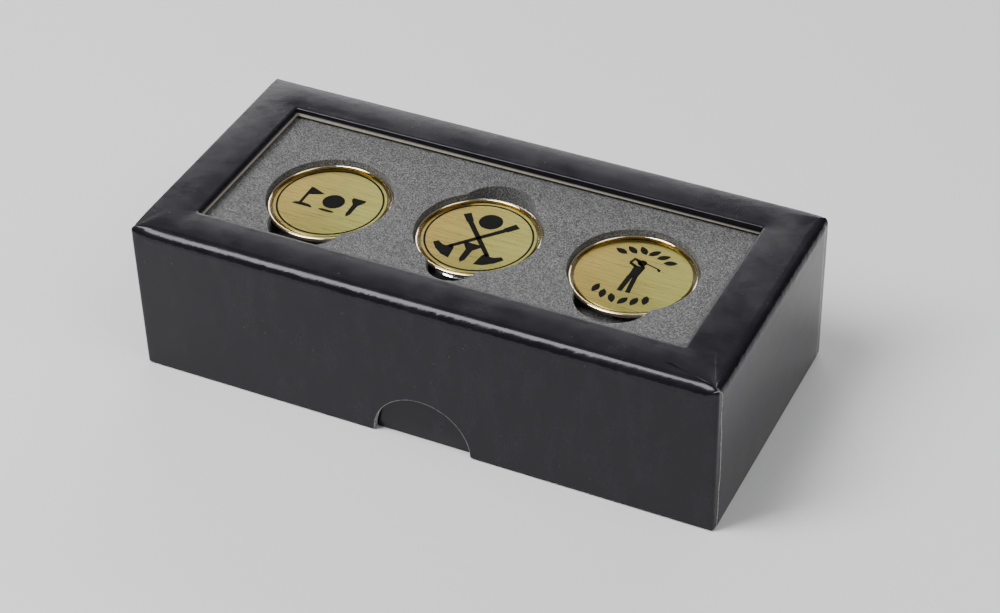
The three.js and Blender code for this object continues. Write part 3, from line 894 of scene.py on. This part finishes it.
def slot_cutter(bottom, top, centre):
    """An oblong tool with round ends, for the pocket under the middle marker."""
    ends = arc((centre[0], centre[1] + CLIP_SLOT_BACK), FINGER_RADIUS, 0, 180, 48)
    ends += arc((centre[0], centre[1] + CLIP_SLOT_FRONT), CLIP_SLOT_FRONT_RADIUS, 180, 360, 48)
    loops = [np.array([(x, y, z) for x, y in ends]) for z in (bottom, top)]
    return skin("cutter", loops, [], caps=(True, True))


def subtract(obj, tools):
    for tool in tools:
        cut = obj.modifiers.new("cut", "BOOLEAN")
        cut.operation = "DIFFERENCE"
        cut.solver = "EXACT"
        cut.object = tool
    bake_modifiers(obj)
    for tool in tools:
        bpy.data.objects.remove(tool)


def bake_modifiers(obj):
    """Turns an object's modifiers into its mesh."""
    graph = bpy.context.evaluated_depsgraph_get()
    obj.data = bpy.data.meshes.new_from_object(obj.evaluated_get(graph))
    obj.modifiers.clear()


def foam_block(name, low, high):
    mesh = bmesh.new()
    bmesh.ops.create_cube(mesh, size=1)
    for v in mesh.verts:
        v.co = Vector([(a + b) / 2 + c * (b - a) for a, b, c in zip(low, high, v.co)])
    data = bpy.data.meshes.new(name)
    mesh.to_mesh(data)
    mesh.free()
    data.materials.append(LOOKS["foam"])
    return add_object(name, data)


def round_edges(obj, width):
    """Rounds the edges where faces meet at more than 50 degrees."""
    rounding = obj.modifiers.new("rounding", "BEVEL")
    rounding.width = width
    rounding.segments = 3
    rounding.limit_method = "ANGLE"
    rounding.angle_limit = math.radians(50)
    rounding.use_clamp_overlap = True
    bake_modifiers(obj)
    smooth(obj, 60)


def make_foam():
    top = FOAM_HIGH.z
    above = top + 2 * MM
    tools = []
    for side in ("left", "right"):
        x, y = centre_of(f"marker_{side}_dish")
        tools.append(cutter(POCKET_RADIUS, top - POCKET_DEPTH, above, (x, y)))
        tools.append(cutter(FINGER_RADIUS, top - FINGER_DEPTH, above, (x, y - FINGER_OFFSET)))
    middle = centre_of("marker_middle_dish")
    tools.append(cutter(POCKET_RADIUS, top - CLIP_POCKET_DEPTH, above, middle))
    tools.append(slot_cutter(FOAM_LOW.z - 2 * MM, above, middle))
    insert = foam_block("foam_insert_pad", FOAM_LOW, FOAM_HIGH)
    subtract(insert, tools)
    round_edges(insert, FOAM_LIP)
    base = foam_block("foam_base_pad", *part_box("foam_base"))
    round_edges(base, FOAM_LIP)
    for pad, cad in ((insert, "foam_insert"), (base, "foam_base")):
        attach(pad, "tray")
        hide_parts(cad)


# ---- The markers --------------------


def make_dish(name, low, high, centre):
    """A stamped dish with a rounded foot, a bead round the rim and a recess for the disc."""
    radius = (high.x - low.x) / 2
    height = high.z - low.z
    crown = height - RIM_DROP - RIM_CROWN
    foot = MARKER_FOOT_RADIUS - DISH_FOOT_ROUND
    profile = [(0, 0), (foot, 0)]
    profile += arc((foot, DISH_FOOT_ROUND), DISH_FOOT_ROUND, -90, -20, 5)[1:]
    shoulder = MARKER_SIDE_HEIGHT
    profile += [(radius - 0.12 * MM, shoulder - 0.14 * MM), (radius - 0.02 * MM, shoulder)]
    profile += [(radius, shoulder + 0.08 * MM), (radius, crown)]
    half = (radius - RIM_INNER_RADIUS) / 2
    bead = arc((0, 0), 1, 0, 180, 16)[1:]
    profile += [(radius - half + half * x, crown + RIM_CROWN * y) for x, y in bead]
    profile += [(RIM_INNER_RADIUS, MARKER_FLOOR + 0.05 * MM), (RIM_INNER_RADIUS - 0.05 * MM, MARKER_FLOOR)]
    profile += [(0, MARKER_FLOOR)]
    return turned(f"{name}_dish_gold", profile, centre, low.z, [LOOKS["gold_plate"]])


def make_disc(name, low, high, centre):
    """The engraved disc, with a small bevel round its top edge."""
    height = high.z - low.z + DISC_RAISE
    profile = [(0, 0), (DISC_RADIUS, 0), (DISC_RADIUS, height - DISC_BEVEL)]
    profile += [(DISC_RADIUS - DISC_BEVEL, height)]
    profile += [(DISC_RADIUS * share, height) for share in (0.8, 0.5, 0.2, 0)]
    return turned(f"{name}_disc_brushed", profile, centre, low.z, [LOOKS["brushed_brass"]])


def ink_piece(name, shapes, centre, z):
    """Flat black fills, from closed outlines in millimetres about the disc's middle."""
    verts, faces = [], []
    for shape in shapes:
        points = [(x * MM + centre[0], y * MM + centre[1]) for x, y in shape]
        start, count = len(verts), len(points)
        verts += [(x, y, z) for x, y in points] + [(x, y, z + INK_HEIGHT) for x, y in points]
        faces.append(tuple(start + i for i in reversed(range(count))))
        faces.append(tuple(start + count + i for i in range(count)))
        for i in range(count):
            j = (i + 1) % count
            faces.append((start + i, start + j, start + count + j, start + count + i))
    return new_object(name, verts, faces, [LOOKS["ink"]])


def ink_ring(name, centre, z):
    """The thin engraved line near a disc's edge."""
    inner = RING_RADIUS - RING_WIDTH / 2
    outer = RING_RADIUS + RING_WIDTH / 2
    angles = np.linspace(0, 2 * math.pi, ROUND_SIDES, endpoint=False)
    spokes = np.stack([np.cos(angles), np.sin(angles)], 1)
    rings = [(inner, z), (outer, z), (outer, z + INK_HEIGHT), (inner, z + INK_HEIGHT)]
    loops = [level(np.array(centre) + radius * spokes, height) for radius, height in rings]
    return skin(name, loops, [LOOKS["ink"]], closed=True)


def circle(x, y, radius):
    return arc((x, y), radius, 0, 360, CIRCLE_STEPS)[:-1]


def bar(start, end, width, end_width=None):
    """A straight stroke between two points."""
    a, b = np.array(start, float), np.array(end, float)
    along = (b - a) / np.linalg.norm(b - a)
    side = np.array([-along[1], along[0]]) / 2
    tail = width if end_width is None else end_width
    return [tuple(p) for p in (a - side * width, b - side * tail, b + side * tail, a + side * width)]


def turned_shape(shape, angle_deg, shift):
    c, s = math.cos(math.radians(angle_deg)), math.sin(math.radians(angle_deg))
    return [(x * c - y * s + shift[0], x * s + y * c + shift[1]) for x, y in shape]


def mirrored(shape):
    return [(-x, y) for x, y in reversed(shape)]


def tee(x, y, height, width):
    """A golf tee, standing on its point."""
    half = width / 2
    stem = width * 0.17
    return [
        (x, y),
        (x + stem, y + height * 0.16),
        (x + stem * 1.15, y + height * 0.66),
        (x + half, y + height * 0.88),
        (x + half, y + height),
        (x - half, y + height),
        (x - half, y + height * 0.88),
        (x - stem * 1.15, y + height * 0.66),
        (x - stem, y + height * 0.16),
    ]


def scaled(shape, factor_x, factor_y, shift=(0, 0)):
    return [(x * factor_x + shift[0], y * factor_y + shift[1]) for x, y in shape]


def emblem_row():
    """A flag on its green, a ball over its shadow and a tee, side by side."""
    flag = [bar((-5.75, -2.3), (-5.75, 3.3), 0.7), [(-5.4, 3.3), (-2.3, 2.05), (-5.4, 0.75)]]
    green = scaled(arc((0, 0), 2.3, 180, 0, 16), 1, 0.42, (-5.0, -3.2))
    shadow = scaled(circle(0, 0, 1.8), 1, 0.2, (0.55, -2.85))
    return [*flag, green, circle(0.55, 0.45, 2.35), shadow, tee(5.2, -3.2, 6.5, 3.0)]


def emblem_round():
    """Two crossed clubs whose heads follow the disc's edge, a ball between the grips and a tee below."""
    club = [bar((5.7, 6.5), (3.9, 4.2), 1.7, 1.5), bar((3.9, 4.2), (-4.3, -5.0), 1.15, 0.95)]
    head = [(-3.7, -4.2), (-3.1, -5.2), (-2.75, -8.5), (-4.7, -7.95), (-6.5, -6.6)]
    head += [(-7.9, -4.9), (-7.0, -4.1), (-5.7, -4.9), (-4.9, -5.0)]
    clubs = [*club, head]
    return [*clubs, *[mirrored(shape) for shape in clubs], circle(0, 5.7, 2.5), tee(0, -8.9, 6.6, 3.7)]


def emblem_figure():
    """A plain golfer pictogram between two rows of leaves."""
    figure = [
        circle(0.1, 4.35, 0.95),
        [(-1.05, 3.2), (1.25, 3.25), (0.95, -0.5), (-0.95, -0.5)],
        [(-1.1, -0.3), (0.05, -0.3), (-0.2, -5.6), (-1.25, -5.6)],
        [(0.0, -0.3), (1.0, -0.3), (1.55, -5.6), (0.55, -5.6)],
        bar((-0.75, 2.9), (-2.2, 3.6), 0.8, 0.65),
        bar((-2.2, 3.6), (-1.75, 5.1), 0.65, 0.55),
        bar((0.9, 3.1), (-1.6, 5.15), 0.7, 0.5),
        bar((-2.0, 5.35), (3.9, 3.7), 0.3),
        [(3.7, 3.95), (4.4, 3.6), (4.3, 2.85), (3.6, 3.35)],
    ]
    right_side = [(0.62, -0.75), (0.75, 0.1), (0.5, 0.85)]
    leaf = [(0, -1.5), *right_side, (0, 1.5), *mirrored(right_side)]
    for side in (-1, 1):
        for place in (-39, -23.5, -8, 8, 23.5, 39):
            angle = 90 * side + place
            lean = 32 * math.copysign(1, place) * side
            shift = (8.35 * math.cos(math.radians(angle)), 8.35 * math.sin(math.radians(angle)))
            figure.append(turned_shape(leaf, angle - 90 + lean, shift))
    return figure


EMBLEMS = {"left": emblem_row, "middle": emblem_round, "right": emblem_figure}
RINGED = ("left", "middle")


def make_marker(side):
    name = f"marker_{side}"
    centre = centre_of(f"{name}_dish")
    dish = make_dish(name, *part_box(f"{name}_dish"), centre)
    low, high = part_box(f"{name}_disc")
    disc = make_disc(name, low, high, centre)
    made = [(dish, "dish", "gold_plate"), (disc, "disc", "brushed_brass")]
    for piece, cad, slot in made:
        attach(piece, name)
        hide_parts(f"{name}_{cad}")
    face = high.z + DISC_RAISE
    fills = [ink_piece(f"{name}_emblem", EMBLEMS[side](), centre, face)]
    if side in RINGED:
        fills.append(ink_ring(f"{name}_ring_line", centre, face))
    for fill in fills:
        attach(fill, name)


# ---- The pieces that stay as they are in the CAD --------------------


def finish_cad_nodes():
    """Gives every CAD node that still shows its own material."""
    slots = {row["node"]: row["material_slot"] for row in frame["record"]["subparts"]}
    for name, obj in frame["nodes"].items():
        look = LOOKS.get(slots[name])
        if obj.hide_render or look is None:
            continue
        obj.data.materials.clear()
        obj.data.materials.append(look)


# ---- The studio --------------------


def make_floor():
    mesh = bmesh.new()
    bmesh.ops.create_grid(mesh, x_segments=FLOOR_STEPS, y_segments=FLOOR_STEPS, size=FLOOR_HALF)
    data = bpy.data.meshes.new("floor")
    mesh.to_mesh(data)
    mesh.free()
    data.materials.append(table_top())
    floor = add_object("floor", data)


def add_light(name, azimuth, elevation, distance, size, power):
    """A soft box aimed at the part, from an azimuth left of the back and an elevation, in degrees."""
    data = bpy.data.lights.new(name, "AREA")
    data.shape = "RECTANGLE"
    data.size, data.size_y = size
    data.energy = power
    lamp = add_object(name, data)
    a, e = math.radians(azimuth), math.radians(elevation)
    place = distance * Vector((-math.sin(a) * math.cos(e), math.cos(a) * math.cos(e), math.sin(e)))
    lamp.location = place
    lamp.rotation_mode = "QUATERNION"
    lamp.rotation_quaternion = (-place).to_track_quat("-Z", "Y")


def make_world():
    """A dim studio: dark towards the horizon, paler overhead."""
    world = bpy.data.worlds.new("studio")
    bpy.context.scene.world = world
    world.use_nodes = True
    tree = world.node_tree
    place = node(tree, "ShaderNodeSeparateXYZ")
    tree.links.new(node(tree, "ShaderNodeTexCoord").outputs["Generated"], place.inputs["Vector"])
    stops = [(0.0, (0.05, 0.05, 0.055)), (0.25, (0.10, 0.10, 0.11)), (0.7, (0.75, 0.77, 0.80))]
    sky = ramp(tree, place.outputs["Z"], stops)
    background = tree.nodes["Background"]
    tree.links.new(sky, background.inputs["Color"])
    background.inputs["Strength"].default_value = WORLD_STRENGTH


def make_camera():
    data = bpy.data.cameras.new("camera")
    data.lens = CAMERA_LENS
    data.sensor_width = 36
    data.clip_start = 0.01
    data.clip_end = 20
    camera = add_object("camera", data)
    a, e = math.radians(CAMERA_AZIMUTH), math.radians(CAMERA_ELEVATION)
    back = Vector((math.sin(a) * math.cos(e), -math.cos(a) * math.cos(e), math.sin(e)))
    right = Vector((math.cos(a), math.sin(a), 0))
    up = back.cross(right)
    roll = math.radians(CAMERA_ROLL)
    turned_right = math.cos(roll) * right + math.sin(roll) * up
    turned_up = -math.sin(roll) * right + math.cos(roll) * up
    rotation = Matrix((turned_right, turned_up, back)).transposed()
    camera.location = CAMERA_AIM + back * CAMERA_DISTANCE
    camera.rotation_mode = "QUATERNION"
    camera.rotation_quaternion = rotation.to_quaternion()
    bpy.context.scene.camera = camera


make_lid_wrap()
make_lid_board()
make_liner()
make_corner_highlight_strip()
make_tray_wrap()
make_foam()
for side in EMBLEMS:
    make_marker(side)
finish_cad_nodes()
make_floor()
make_world()
for name, settings in LIGHTS.items():
    add_light(name, *settings)
make_camera()
